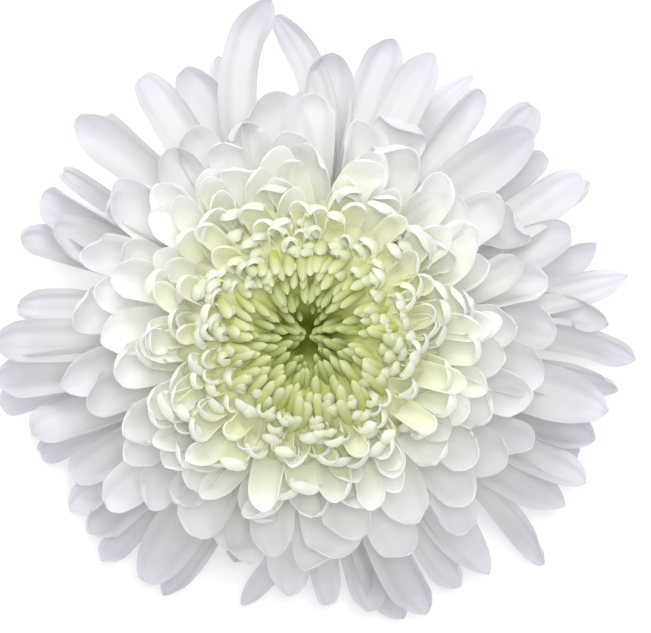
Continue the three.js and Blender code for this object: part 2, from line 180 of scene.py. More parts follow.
# The outermost florets, one by one round the edge: azimuth of the tip, reach, visible width, sideways bend of
# the tip, height of the tip and roll of the blade. A height of 0 marks the three on which the head rests.
EDGE_FLORETS = (
    (96.5, 74, 8.5, -14, 20, 0),
    (96.5, 71, 7, 14, 14, 0),
    (85, 62, 10.7, -1, 15, 0),
    (74, 67, 9.2, -3, 11.5, 8),
    (66, 67.5, 9.6, -2, 17.5, -6),
    (57.5, 67, 6.5, -6, 5, 0),
    (55, 65.5, 8, -1, 7.5, 10),
    (42.5, 66, 12, -4, 19, 24),
    (45.5, 71, 8.5, 2, 10, 0),
    (30.5, 70.5, 9, 3, 15, 0),
    (28.5, 69.5, 6, 1, 6, 0),
    (20.5, 62.5, 12, 0, 19, -24),
    (17.5, 65.5, 8, 2, 9, 0),
    (10.5, 71, 7.5, 2, 15, 0),
    (2, 65.5, 7.5, -8, 14, 0),
    (-4.5, 72.5, 7, -7, 9, 0),
    (-9.5, 68.5, 6, -2, 5, 60),
    (-14.5, 68, 12, -2, 16, 0),
    (-20, 66, 10, 0, 7.5, 0),
    (-24, 65.5, 7, 1, 6, 0),
    (-28, 68.5, 9, 1, 12.5, 0),
    (-32, 57, 9, 0, 0, 0),
    (-33.5, 67.5, 9.5, 2, 12.5, 0),
    (-44, 71, 6, -4, 4, 45),
    (-53, 65, 9.5, 1, 10, 0),
    (-59, 63.5, 7, 1, 6, 0),
    (-66.5, 66, 9.5, 3, 11, 0),
    (-71.5, 65.5, 7, 3, 5, 20),
    (-77, 61, 9, 0, 7.5, 0),
    (-85.5, 60.5, 7, 2, 10, 0),
    (-94.5, 56.5, 10.5, 0, 11, 0),
    (-104, 60.5, 5, -12, 4, 10),
    (-108, 51.5, 10, 0, 11, 0),
    (-119, 64.5, 6, -4, 5, 35),
    (-123.5, 65.5, 11.5, 0, 11, 0),
    (-132.5, 66, 6.5, 0, 5, 0),
    (-138, 64, 9, 0, 9, 0),
    (-146, 56, 9, 0, 0, 0),
    (-149, 62, 9.5, 0, 12.5, 0),
    (-156, 65, 6, 1, 5, 0),
    (-160.5, 64, 11, 0, 11, 0),
    (-167, 69.5, 7, 2, 5, 0),
    (-172, 69, 9.5, 0, 10, 0),
    (-178.5, 69, 9.5, 0, 14, 0),
    (174.5, 64, 8, 3, 6, 0),
    (161.5, 66, 8, 2, 5, 0),
    (157.5, 61, 10, 0, 15, 0),
    (152, 66.5, 9, -1, 11, 0),
    (146.5, 66, 4.5, 0, 5, 0),
    (135.5, 69, 12.5, 3, 15, -32),
    (123, 68, 9, 1, 12.5, 0),
    (115.5, 64.5, 10.5, 4, 6, 0),
    (90, 57, 9, 0, 0, 0),
    (37, 67, 7, 0, 5, 0),
    (-143.5, 64, 7, 0, 7, 0),
    (108, 63.5, 8, 0, 5, 0),
)

# Outlines of radius and height: the stem from its pith up to the cup, the cup that carries the bracts, the
# receptacle inside it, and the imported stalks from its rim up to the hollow.
STEM_OUTLINE = (
    (0.2, 1.7), (1.6, 1.6), (2.1, 1.25), (2.9, 1.2), (3.2, 1.35), (3.3, 1.8), (3.25, 7), (3.3, 10.5),
    (3.55, 12.8), (3.7, 13.5), (3.0, 13.7), (0.2, 13.7),
)
CUP_OUTLINE = (
    (0.2, 13.6), (3.2, 13.6), (4.4, 14.1), (6, 15.6), (8.2, 16.9), (10.3, 17.9), (10.7, 18.6), (10.5, 19.1),
    (9.5, 18.6), (0.2, 18.4),
)
RECEPTACLE_OUTLINE = (
    (0.2, 18.5), (9.4, 18.6), (10.1, 19.2), (10.3, 20.4), (10.2, 21.1), (9.2, 22.4), (7.3, 24.5), (5.1, 26.3),
    (2.6, 27.6), (0.2, 28.0),
)
PACKED_OUTLINE = (
    (7.0, 20.3), (11.5, 21.5), (17, 24.5), (21.5, 27.5), (25.5, 32), (28.5, 37.5), (29.5, 43.5), (28.2, 49.2),
    (24.8, 53.8), (20.5, 56.6), (13, 58), (9, 57), (5, 54.5), (2, 50), (0.5, 49),
)
STALK_RIBS = 44
# Rows of bracts round the cup: count, root radius and height, length, width and lean from upright.
BRACT_ROWS = (
    (7, 4.6, 14.6, 7.5, 4.2, 46),
    (9, 6.6, 15.8, 9.0, 4.6, 56),
    (12, 8.6, 17.4, 10.5, 5.0, 66),
)

# The seeded traits of each kind of floret: the number of the kind's first draw and then, in the order of the
# draws, each trait's middle and the spread of its draw on either side.
DRAWN_TRAITS = {
    "spiral": (1, dict(
        azimuth=(0, 4), bend=(0, 11), roll=(0, 12), width=(1, 0.16), reach=(0, 1), height=(0, 0.9),
        arrive=(0, 6), channel=(1, 0), hook=(1, 0.45), chance=(0, 1), fold=(0, 0), blunt=(2.4, 0.3),
        rim=(1, 0),
    )),
    "edge": (21, dict(
        channel=(150, 45), cup=(175, 45), hook=(50, 40), blunt=(2.2, 0.5), notch=(0, 1.8), chance=(0, 1),
        roll=(0, 18), point=(0.45, 0.4), fold=(0, 0.4), rim=(0.4, 1.2), curl=(10.5, 3), close=(0, 0.7),
    )),
    "second": (31, dict(
        roll=(0, 16), cup=(1.15, 0.25), curl=(1, 0.3), blunt=(1.6, 0.4), notch=(0, 1.8), chance=(0, 1),
        arrive=(0, 8), point=(0.2, 0.25), fold=(0, 0.4), rim=(0.6, 1.1), hook=(0, 60), close=(0.35, 0.25),
        bend=(0, 6),
    )),
    "bract": (41, dict(
        slope=(0, 5), length=(1, 0.08), azimuth=(0, 5), bend=(0, 4), roll=(0, 8), chance=(0, 1),
    )),
}
# What the middles and spreads of spiral florets gain where they stand loose.
LOOSE_GAINS = dict(
    roll=(0, 16), height=(0, 0.6), arrive=(0, 8), channel=(0, 0.2), fold=(0, 0.2), rim=(0.5, 0.5),
)

# Reaches between which spiral florets come to stand loose, open out, leave the slit and lie apart.
LOOSE_REACHES = (22, 38)
OPENING_REACHES = (13, 20)
SLIT_REACHES = (2, 9)
PARTING_REACHES = (18, 26)
# The hollow is a slit: how far florets are drawn in across it and let out along it, and how it lies.
SLIT_DRAWN_IN = 2
SLIT_LET_OUT = 5.4
SLIT_TURN = 12
# How far a draw may move a spiral floret in or out: on the axis, more per millimetre of reach, and at most.
REACH_SPREAD = (0.5, 1 / 9, 3.2)
# Spiral florets get less blunt and less pointed as they open out, and their tips close less as they part.
OPEN_BLUNT = -0.9
CLOSED_POINT = 0.8
OPEN_POINT = 0.1
PARTED_CLOSE = 0.5

# The second row is a little wider, more rolled and more curled than its table says.
SECOND_WIDENED = 1.12
SECOND_ROLLED = 35
SECOND_HOOKED = 15

EDGE_WIDENED = 1.04
EDGE_ROLLED = 250
EDGE_START = 0.06
EDGE_LEAST_CLOSE = 0.15
# How far inside the receptacle's rim an edge floret is rooted, and its angles there and at its tip: each as
# it is for a tip at the bottom, and what each millimetre of the tip's height adds.
EDGE_INSET = (0.4, 0.09)
EDGE_LEAVE = (8, 0.5)
EDGE_ARRIVE = (-34, 1.2)
# How far the middle of a blade stays above its lowest point, and the reach that a degree of curl takes away.
EDGE_CLEARANCE = 0.45
CURL_TAKES = 0.03

BRACT_SHAPE = dict(
    rolled=70, channel=80, cup=100, hook=12, start=0.0, foot=0.8, blunt=2.0, point=0.9, fold=0.0, rim=1.0,
    close=0.2, notch=0.0, ridges=0.06, ripple=0.15,
)
BRACT_SAG = 18
BRACT_LIFT = 12


def srgb(red, green, blue):
    """A colour written as 0 to 255, in the scene's linear values, none of them near black."""
    return tuple(((value / 255 + 0.055) / 1.055) ** 2.4 for value in (red, green, blue))


def smoothstep(value, low, high):
    share = np.clip((value - low) / (high - low), 0, 1)
    return share * share * (3 - 2 * share)


def heading(degrees):
    return np.array([math.cos(math.radians(degrees)), math.sin(math.radians(degrees))])


def unit(vectors):
    return vectors / np.linalg.norm(vectors, axis=-1, keepdims=True)


def head_size(key):
    """A length of the head's settings, in millimetres."""
    return getattr(bpy.context.scene.flower_head, key) / MM


def finish_of(kind):
    """Thickness, ridges and ripples of a kind of floret."""
    return {part: head_size(f"{kind}_{part}") for part in ("thickness", "ridges", "ripple")}


def drawn(kind, index, loose=0.0):
    """The seeded traits of one floret: each is its middle and a repeatable draw over its spread."""
    first, traits = DRAWN_TRAITS[kind]
    found = {}
    for number, (trait, (middle, spread)) in enumerate(traits.items(), first):
        draw = np.random.default_rng((DRAW_SEED, index, number)).uniform(-1, 1)
        more_middle, more_spread = LOOSE_GAINS.get(trait, (0, 0))
        found[trait] = middle + loose * more_middle + (spread + loose * more_spread) * draw
    return found


def ring_at(value, by="count"):
    """The values of RINGS at a floret count or at a reach, between the rows on either side."""
    given = RINGS[:, RING_KEYS.index(by)]
    return {key: float(np.interp(value, given, RINGS[:, i])) for i, key in enumerate(RING_KEYS)}


def receptacle_height(radius):
    return RECEPTACLE_RIM + RECEPTACLE_DOME * (1 - (radius / RECEPTACLE_RADIUS) ** 2)


def root_radius(count):
    return RECEPTACLE_RADIUS * math.sqrt(count / FLORETS_IN_ALL)


def profile(root, reach, height, leave, arrive, overhang=0.35):
    """The four control points, as radius and height, of a floret's line in its own upright plane."""
    start = np.array([root, receptacle_height(root)])
    tip = np.array([reach, height])
    span = np.linalg.norm(tip - start)
    outwards, onwards = heading(leave) * span * 0.5, heading(arrive) * span * overhang
    return np.array([start, start + outwards, tip - onwards, tip])


def spiral_floret(index):
    """A floret that the golden-angle spiral places, with its own small differences."""
    ring = ring_at(index)
    reach = ring["reach"]
    loose = float(smoothstep(reach, *LOOSE_REACHES))
    opened = float(smoothstep(reach, *OPENING_REACHES))
    own = drawn("spiral", index, loose)
    azimuth = index * GOLDEN_ANGLE + own["azimuth"]
    let_out = SLIT_LET_OUT * math.sin(math.radians(azimuth + SLIT_TURN)) ** 2
    slit = (let_out - SLIT_DRAWN_IN) * (1 - float(smoothstep(reach, *SLIT_REACHES)))
    least, per_reach, most = REACH_SPREAD
    spoon = finish_of("spoon")
    return dict(
        ring | own,
        azimuth=azimuth,
        bend=ring["swirl"] + own["bend"],
        width=ring["width"] * own["width"],
        channel=ring["channel"] * own["channel"],
        hook=ring["hook"] * own["hook"],
        blunt=own["blunt"] + OPEN_BLUNT * opened,
        point=CLOSED_POINT + (OPEN_POINT - CLOSED_POINT) * opened,
        close=1 - PARTED_CLOSE * float(smoothstep(reach, *PARTING_REACHES)),
        notch=0.0,
        ridges=spoon["ridges"] * loose,
        ripple=spoon["ripple"] * loose,
        thickness=head_size("quill_thickness") * (1 - opened) + spoon["thickness"] * opened,
        line=profile(
            root_radius(index),
            max(reach + slit + own["reach"] * min(least + reach * per_reach, most), 0.5),
            ring["height"] + own["height"] - SETTLED.get(index, 0.0),
            ring["leave"],
            ring["arrive"] + own["arrive"],
            ring["overhang"],
        ),
        reach=reach,
    )


def second_floret(number):
    """One white floret inside the edge, placed as listed."""
    azimuth, reach, width, bend, lift, roll, hook, channel = SECOND_FLORETS[number]
    ring = ring_at(reach, "reach")
    own = drawn("second", number)
    bend = bend + own["bend"]
    height, arrive = ring["height"] + lift, ring["arrive"] + own["arrive"]
    return dict(
        ring | own | finish_of("second"),
        azimuth=azimuth - bend,
        bend=bend,
        roll=roll + own["roll"],
        width=SECOND_WIDENED * width,
        channel=channel + SECOND_ROLLED,
        cup=ring["cup"] * own["cup"],
        hook=hook + SECOND_HOOKED + max(0.0, own["hook"]),
        curl=ring["curl"] * own["curl"],
        rim=2.0 ** own["rim"],
        notch=max(0.0, own["notch"]),
        line=profile(root_radius(ring["count"]), reach, height, ring["leave"], arrive),
    )


def edge_floret(number):
    """One outermost floret, placed as listed. Those on which the head rests don't curl."""
    azimuth, reach, width, bend, height, roll = EDGE_FLORETS[number]
    own = drawn("edge", number)
    hook = own["hook"] if height > 0 else 0
    inset, leave, arrive = (base + height * rise for base, rise in (EDGE_INSET, EDGE_LEAVE, EDGE_ARRIVE))
    return dict(
        own | finish_of("edge"),
        reach=reach,
        azimuth=azimuth - bend,
        bend=bend,
        roll=roll + own["roll"],
        width=EDGE_WIDENED * width,
        rolled=EDGE_ROLLED,
        hook=hook,
        start=EDGE_START,
        rim=2.0 ** own["rim"],
        close=max(EDGE_LEAST_CLOSE, own["close"]),
        notch=max(0.0, own["notch"]),
        line=profile(
            RECEPTACLE_RADIUS - inset, reach + CURL_TAKES * hook, height + EDGE_CLEARANCE, leave, arrive
        ),
    )


def bract(row, number):
    """One green bract, lying along the cup and out under the florets."""
    count, root, height, length, width, lean = BRACT_ROWS[row]
    own = drawn("bract", 100 * row + number)
    slope = 90 - lean + own["slope"]
    start = np.array([root, height])
    tip = start + heading(slope) * length * own["length"]
    third = length / 3
    line = [start, start + heading(slope - BRACT_SAG) * third, tip - heading(slope + BRACT_LIFT) * third, tip]
    return dict(
        own | BRACT_SHAPE,
        reach=root + length,
        azimuth=360 * (number + 0.5 * row) / count + own["azimuth"],
        width=width,
        curl=third,
        thickness=head_size("bract_thickness"),
        line=np.array(line),
    )


LINE_STEPS = 120


def line_points(line):
    """Evenly stepped points of a floret's line, which is a cubic curve."""
    u = np.linspace(0, 1, LINE_STEPS)[:, None]
    a, b, c, d = line
    return (1 - u) ** 3 * a + 3 * u * (1 - u) ** 2 * b + 3 * u**2 * (1 - u) * c + u**3 * d


def line_length(floret):
    return float(np.sum(np.linalg.norm(np.diff(line_points(floret["line"]), axis=0), axis=1)))


def centreline(floret, shares):
    """Points and turn of the floret's line at these shares of its length, with its tip curled."""
    curve = line_points(floret["line"])
    steps = np.diff(curve, axis=0)
    lengths = np.linalg.norm(steps, axis=1)
    passed = np.concatenate([[0], np.cumsum(lengths)])
    length = passed[-1]
    middle = (passed[1:] + passed[:-1]) / 2
    curled = math.radians(floret["hook"]) * smoothstep(middle, length - floret["curl"], length)
    angle = np.unwrap(np.arctan2(steps[:, 1], steps[:, 0])) + curled
    bent = np.stack([np.cos(angle) * lengths, np.sin(angle) * lengths], axis=1)
    curve = np.concatenate([curve[:1], curve[0] + np.cumsum(bent, axis=0)])
    radius = np.interp(shares, passed / length, curve[:, 0])
    height = np.interp(shares, passed / length, curve[:, 1])
    turn = np.radians(floret["azimuth"] + floret["bend"] * shares**3)
    return np.stack([radius * np.cos(turn), radius * np.sin(turn), height], axis=1), turn


# Over what length, back from its tip, a floret shades to its root colour, by its reach.
FADE_REACHES = (0, 14, 22, 32, 42, 60)
FADE_LENGTHS = (5, 7, 5, 6, 15, 32)

TIP_ROWS = 9
ROWS_GATHERED = 1.4
ROOT_WIDTH = 0.34
FULL_WIDTH_SHARE = 0.72
# A pointed blade narrows a little from this share on.
POINT_SHARE = 0.7
POINT_NARROWS = 0.14
# The two powers of the curve that rounds a tip off: for a blunt tip, and what a pointed one adds.
TIP_INNER_POWER = (2.5, -0.8)
TIP_OUTER_POWER = (0.5, 0.35)
LEAST_TRIM = 0.04
# Where along a blade its roll is given: its root, part of the way out, its channel and its tip.
ROLL_SHARES = (0, 0.35, 0.75, 1)
ROOT_ROLL_KEPT = 0.6
# The blade thins towards its margins and its tip.
MARGIN_POWER = 4
TIP_THINNING = 3
TIP_THINNEST = 0.4
# Ridges run along the blade and ripples along its margins, and both set in over the same stretch.
GROOVED_SHARES = (0.3, 0.6)
RIDGE_WAVES = 3
RIPPLE_TURNS = 14
RIPPLE_OFFSET = 2
RIPPLE_POWER = 3
NOTCH_SHARE = 0.88
NOTCH_WIDTH = 0.3


def rows_along(floret, length, rows):
    """The shares of a floret's length at its rows, and how far each has gone round the rounded tip."""
    free = 1 - floret["blunt"] * floret["width"] / 2 / length
    body = 1 - (1 - np.linspace(0, 1, rows - TIP_ROWS)) ** ROWS_GATHERED
    body = floret["start"] + (free - floret["start"]) * body
    rounding = np.concatenate([np.zeros(len(body)), np.sin(np.linspace(0, math.pi / 2, TIP_ROWS + 1)[1:])])
    return np.concatenate([body, free + (1 - free) * rounding[len(body):]]), rounding


def directions(floret, shares):
    """The floret's line at these shares, with the directions along it, across it and out of its face."""
    centre, turn = centreline(floret, shares)
    along = unit(np.gradient(centre, axis=0))
    across = np.stack([-np.sin(turn), np.cos(turn), np.zeros_like(turn)], axis=1)
    across = unit(across - along * np.sum(across * along, axis=1, keepdims=True))
    lean = (np.radians(floret["roll"]) * shares)[:, None]
    across = across * np.cos(lean) + np.cross(along, across) * np.sin(lean)
    return centre, along, across, np.cross(along, across)


def section(u, bend, floret):
    """The blade's cross-section over half an arc of 1: offsets sideways and up, and its slope."""
    slope = bend[:, None] * np.sign(u) * np.abs(u) ** floret["rim"] * (1 + floret["fold"] * u)
    steepness = (slope[:, 1:] + slope[:, :-1]) / 2
    middle = len(u) // 2

    def offsets(part):
        passed = np.cumsum(part * np.diff(u), axis=1)
        passed = np.concatenate([np.zeros((len(bend), 1)), passed], axis=1)
        return passed - passed[:, middle:middle + 1]

    return offsets(np.cos(steepness)), offsets(np.sin(steepness)), slope


def there_and_back(across):
    """Values across the upper face and back across the lower one, which shares its two margins."""
    return np.concatenate([across, across[..., 1:-1][..., ::-1]], axis=-1)


def widths(floret, shares, rounding):
    """Half the floret's width at its rows, and how far the rounded tip trims it there."""
    foot, point = floret.get("foot", ROOT_WIDTH), floret["point"]
    spread = foot + (1 - foot) * smoothstep(shares, floret["start"], FULL_WIDTH_SHARE)
    spread = spread * (1 - POINT_NARROWS * point * smoothstep(shares, POINT_SHARE, 1))
    inner, outer = (blunt + added * point for blunt, added in (TIP_INNER_POWER, TIP_OUTER_POWER))
    trim = (1 - rounding**inner) ** outer
    return floret["width"] / 2 * spread, np.maximum(trim, LEAST_TRIM)


def rolled_blade(floret, shares, rounding, u):
    """Offsets sideways and up of the blade's skin from its line, at its rows and round its loops."""
    half, trim = widths(floret, shares, rounding)
    rolled, channel = floret["rolled"], floret["channel"]
    between = rolled * ROOT_ROLL_KEPT + channel * (1 - ROOT_ROLL_KEPT)
    bend = np.radians(np.interp(shares, ROLL_SHARES, (rolled, between, channel, floret["cup"]))) / 2
    arc = (half * trim / np.abs(section(u, bend, floret)[0]).max(axis=1))[:, None]
    cut = section(u, bend * trim ** (1 - floret["close"]), floret)
    sideways, raised, slope = (there_and_back(part) for part in cut)

    across = np.abs(there_and_back(u))
    upper = np.concatenate([np.ones(len(u)), -np.ones(len(u) - 2)])
    thinned = np.clip((1 - rounding) * TIP_THINNING, TIP_THINNEST, 1)
    grooved = (smoothstep(shares, *GROOVED_SHARES) * thinned)[:, None]
    skin = (1 - across**MARGIN_POWER) ** 0.5 * upper * floret["thickness"] / 2 * thinned[:, None]
    skin = skin + floret["ridges"] * np.cos(across * RIDGE_WAVES * math.pi) * grooved
    phase = math.pi * floret["chance"] + RIPPLE_OFFSET * np.sign(there_and_back(u))
    ripple = floret["ripple"] * across**RIPPLE_POWER * np.sin(shares[:, None] * RIPPLE_TURNS + phase)
    sideways = arc * sideways - skin * np.sin(slope)
    return sideways, arc * raised + skin * np.cos(slope) + ripple * grooved


def floret_shell(floret, rows, columns):
    """The closed skin of one floret, with the traits that its colour is worked out from."""
    length = line_length(floret)
    shares, rounding = rows_along(floret, length, rows)
    centre, along, across, up = directions(floret, shares)
    u = np.sin(np.linspace(-1, 1, columns) * math.pi / 2)
    sideways, raised = rolled_blade(floret, shares, rounding, u)
    notched = floret["notch"] * np.exp(-((sideways / (NOTCH_WIDTH * floret["width"] / 2)) ** 2))
    notched = notched * smoothstep(shares, NOTCH_SHARE, 1)[:, None]
    points = (
        centre[:, None, :]
        + across[:, None, :] * sideways[..., None]
        + up[:, None, :] * raised[..., None]
        - along[:, None, :] * notched[..., None]
    )
    fade = np.interp(floret["reach"], FADE_REACHES, FADE_LENGTHS)
    tipward = np.clip(1 - (1 - shares) * length / fade, 0, 1)
    loop = there_and_back(u)
    return dict(
        skin_of_rings(points),
        tipward=np.repeat(tipward, len(loop)),
        across=np.tile(loop, rows),
        rank=np.full(rows * len(loop), floret["reach"] / REACH_OF_ALL),
        chance=np.full(rows * len(loop), floret["chance"]),
    )


def skin_of_rings(rings):
    """Points, quads and end faces that join rings of points into one closed skin."""
    rows, loops = rings.shape[:2]
    row, column = np.meshgrid(np.arange(rows - 1), np.arange(loops), indexing="ij")
    near, far = row * loops, (row + 1) * loops
    following = (column + 1) % loops
    corners = [near + column, near + following, far + following, far + column]
    last = (rows - 1) * loops
    return dict(
        points=rings.reshape(-1, 3),
        quads=np.stack(corners, axis=-1).reshape(-1, 4),
        ends=(list(range(loops))[::-1], list(range(last, last + loops))),
    )


def turned_shell(outline, rows, steps, relief=None):
    """The closed skin of an outline turned round the axis, with a relief added to its radius."""
    places = np.linspace(0, len(outline) - 1, rows)
    radius, height = (np.interp(places, np.arange(len(outline)), part)[:, None] for part in zip(*outline))
    turn = np.linspace(0, 2 * math.pi, steps, endpoint=False)
    raised = radius + (relief(radius, height, turn[None, :]) if relief is not None else 0)
    rings = np.stack([raised * np.cos(turn), raised * np.sin(turn), height + 0 * turn[None, :]], axis=-1)
    return dict(
        skin_of_rings(rings),
        tipward=np.repeat(np.linspace(0, 1, rows), steps),
        across=np.zeros(rows * steps),
        rank=np.repeat(radius[:, 0] / REACH_OF_ALL, steps),
        chance=np.zeros(rows * steps),
    )


SHELL_TRAITS = ("tipward", "across", "rank", "chance")


def object_of_shells(name, shells, material, slot, *nodes):
    """One object of many closed skins, on the frame's axis, that stands for the frame's nodes."""
    points, faces, offset = [], [], 0
    for shell in shells:
        points.append(shell["points"])
        faces.extend((shell["quads"] + offset).tolist())
        faces.extend([i + offset for i in end] for end in shell["ends"])
        offset += len(shell["points"])
    placed = np.concatenate(points) * MM + np.array([AXIS.x, AXIS.y, LIFT])
    mesh = bpy.data.meshes.new(name)
    mesh.from_pydata(placed.tolist(), [], faces)
    for trait in SHELL_TRAITS:
        values = np.concatenate([shell[trait] for shell in shells]).astype(np.float32)
        mesh.attributes.new(trait, "FLOAT", "POINT").data.foreach_set("value", values)
    mesh.shade_smooth()
    mesh.materials.append(material)
    piece = bpy.data.objects.new(name, mesh)
    bpy.context.scene.collection.objects.link(piece)
    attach(piece, "root")
    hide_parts(*nodes)


class Nodes:
    """Short ways to add and link the shader nodes of one material."""

    def __init__(self, name):
        self.material = bpy.data.materials.new(name)
        self.material.use_nodes = True
        self.tree = self.material.node_tree
        self.shader = self.tree.nodes["Principled BSDF"]

    def add(self, kind, **settings):
        node = self.tree.nodes.new(kind)
        for key, value in settings.items():
            setattr(node, key, value)
        return node

    def link(self, source, target):
        self.tree.links.new(source, target)

    def fill(self, sockets, values):
        for socket, value in zip(sockets, values):
            if isinstance(value, (int, float)):
                socket.default_value = value
            elif isinstance(value, bpy.types.NodeSocket):
                self.link(value, socket)
            else:
                socket.default_value = (*value[:3], 1)

    def surface(self, values):
        """Sets or links sockets of the shader, each named by its label."""
        self.fill([self.shader.inputs[label] for label in values], values.values())

    def trait(self, name):
        return self.add("ShaderNodeAttribute", attribute_name=name).outputs["Fac"]

    def ramp(self, source, stops):
        node = self.add("ShaderNodeValToRGB")
        elements = node.color_ramp.elements
        elements.remove(elements[-1])
        for number, (place, colour) in enumerate(stops):
            element = elements[0] if number == 0 else elements.new(place)
            element.position = place
            element.color = (*colour[:3], 1)
        self.link(source, node.inputs["Fac"])
        return node.outputs["Color"]

    def math(self, operation, *values):
        node = self.add("ShaderNodeMath", operation=operation)
        self.fill(node.inputs, values)
        return node.outputs["Value"]

    def scaled(self, source, factor, offset):
        return self.math("ADD", self.math("MULTIPLY", source, factor), offset)

    def mix(self, factor, first, second, blend="MIX"):
        node = self.add("ShaderNodeMix", data_type="RGBA", blend_type=blend)
        self.fill([s for s in node.inputs if s.enabled], (factor, first, second))
        return next(s for s in node.outputs if s.enabled)

    def noise(self, scale, detail=3.0):
        node = self.add("ShaderNodeTexNoise")
        node.inputs["Scale"].default_value = scale
        node.inputs["Detail"].default_value = detail
        self.link(self.add("ShaderNodeTexCoord").outputs["Object"], node.inputs["Vector"])
        return node.outputs["Fac"]

    def margin(self, power):
        """Rises from 0 along the middle of a blade to 1 at its margins."""
        return self.math("POWER", self.math("ABSOLUTE", self.trait("across")), power)

    def veins(self, depth):
        """A relief of veins that run along a blade."""
        waves = self.math("SINE", self.math("MULTIPLY", self.trait("across"), VEINS_ACROSS))
        return self.math("MULTIPLY", waves, depth)

    def bump(self, height, strength, distance):
        node = self.add("ShaderNodeBump")
        node.inputs["Strength"].default_value = strength
        node.inputs["Distance"].default_value = distance
        self.link(height, node.inputs["Height"])
        return node.outputs["Normal"]

    def let_light_through(self, colour, share):
        """Mixes the shader with a translucent one of this colour."""
        glow = self.add("ShaderNodeBsdfTranslucent")
        self.link(colour, glow.inputs["Color"])
        both = self.add("ShaderNodeMixShader")
        both.inputs["Fac"].default_value = share
        self.link(self.shader.outputs["BSDF"], both.inputs[1])
        self.link(glow.outputs["BSDF"], both.inputs[2])
        self.link(both.outputs["Shader"], self.tree.nodes["Material Output"].inputs["Surface"])


# Where along the head's reach the five pairs of petal colours stand.
COLOUR_PLACES = (0.03, 0.16, 0.34, 0.6, 0.92)
VEINS_ACROSS = 30.0
# The tip's colour reaches further down along the margins, partly as paler margin tissue and partly as a
# painted highlight where the rims catch the light, and the root's colour holds on before it fades.
PETAL_MARGIN_POWER = 3.0
PETAL_MARGIN_PALENESS_AND_HIGHLIGHT = 0.14
PETAL_FADE_POWER = 1.7
# How much mottling adds to a petal's darkest shade, that shade, and how much petals differ at random, which
# partly stands in as painted shade for florets turned away from the light.
PETAL_MOTTLE = (0.08, 0.93)
PETAL_DIFFERENCE_AND_SHADE = 0.05
MOTTLE_SCALE = 260.0
PORE_SCALE = 900.0
PETAL_VEINS = 0.35
PETAL_RELIEF = 0.0002
PETAL_ROUGHNESS = 0.45
PETAL_SHEEN = 0.3


def petal_material(name, settings, roughness):
    """Petal flesh, from lime deep in the eye to cool white at the edge, mottled and faintly veined; the
    lightened margins are partly a painted highlight, and the greyer edge and the darker florets are partly
    painted shade.
    """
    nodes = Nodes(name)
    rank = nodes.trait("rank")
    root, tip = (
        nodes.ramp(rank, zip(COLOUR_PLACES, [getattr(settings, f"{zone}_{end}") for zone in PETAL_ZONES]))
        for end in ("root", "tip")
    )
    # The margins are lightened towards the tip's colour: partly paler tissue, partly a painted highlight on
    # the rims.
    margin_paleness_and_highlight = nodes.math("MULTIPLY", nodes.margin(PETAL_MARGIN_POWER), PETAL_MARGIN_PALENESS_AND_HIGHLIGHT)
    tipward = nodes.math("MINIMUM", nodes.math("ADD", nodes.trait("tipward"), margin_paleness_and_highlight), 1.0)
    colour = nodes.mix(nodes.math("POWER", tipward, PETAL_FADE_POWER), root, tip)
    shade = nodes.scaled(nodes.noise(MOTTLE_SCALE), *PETAL_MOTTLE)
    # Some florets are darker at random, partly as painted shade for florets turned away from the light.
    shade = nodes.math("ADD", shade, nodes.math("MULTIPLY", nodes.trait("chance"), PETAL_DIFFERENCE_AND_SHADE))
    colour = nodes.mix(1.0, colour, shade, "MULTIPLY")
    height = nodes.math("ADD", nodes.veins(PETAL_VEINS), nodes.noise(PORE_SCALE))
    nodes.surface({
        "Base Color": colour,
        "Normal": nodes.bump(height, settings.vein_depth, PETAL_RELIEF),
        "Roughness": roughness,
        "Specular IOR Level": PETAL_SHEEN,
    })
    nodes.let_light_through(colour, settings.translucency)
    return nodes.material


# Bracts, stem and receptacle: the grain's detail, the strength and depth of its relief, and how much
# mottling adds to the darkest shade of a turned piece.
GREEN_GRAIN_DETAIL = 6.0
GREEN_RELIEF = (0.5, 0.0003)
GREEN_MOTTLE = (0.5, 0.72)
BRACT_GRAIN_SCALE = 400.0
BRACT_MARGIN_POWER = 6.0
BRACT_PAPERY = 0.6
BRACT_VEINS = 0.3
BRACT_ROUGHNESS = 0.55


def bract_material(name, settings):
    """Bract tissue, paler and papery along the margins and at the tips."""
    nodes = Nodes(name)
    grain = nodes.noise(BRACT_GRAIN_SCALE, GREEN_GRAIN_DETAIL)
    tips = nodes.math("POWER", nodes.trait("tipward"), BRACT_MARGIN_POWER)
    papery = nodes.math("MINIMUM", nodes.math("ADD", nodes.margin(BRACT_MARGIN_POWER), tips), 1.0)
    tissue = nodes.mix(grain, settings.bract_deep, settings.bract_pale)
    height = nodes.math("ADD", nodes.veins(BRACT_VEINS), grain)
    nodes.surface({
        "Base Color": nodes.mix(nodes.math("MULTIPLY", papery, BRACT_PAPERY), tissue, settings.bract_margin),
        "Normal": nodes.bump(height, *GREEN_RELIEF),
        "Roughness": BRACT_ROUGHNESS,
    })
    return nodes.material


def turned_material(name, stops, roughness, grain_scale):
    """Tissue of a turned piece, whose colours follow its outline and are mottled a little."""
    nodes = Nodes(name)
    grain = nodes.noise(grain_scale, GREEN_GRAIN_DETAIL)
    shade = nodes.scaled(grain, *GREEN_MOTTLE)
    nodes.surface({
        "Base Color": nodes.mix(1.0, nodes.ramp(nodes.trait("tipward"), stops), shade, "MULTIPLY"),
        "Normal": nodes.bump(grain, *GREEN_RELIEF),
        "Roughness": roughness,
    })
    return nodes.material


def add_florets(name, slot, nodes, shells, roughness=PETAL_ROUGHNESS):
    material = petal_material(name + "_flesh", bpy.context.scene.flower_head, roughness)
    object_of_shells(name, shells, material, slot, *nodes)


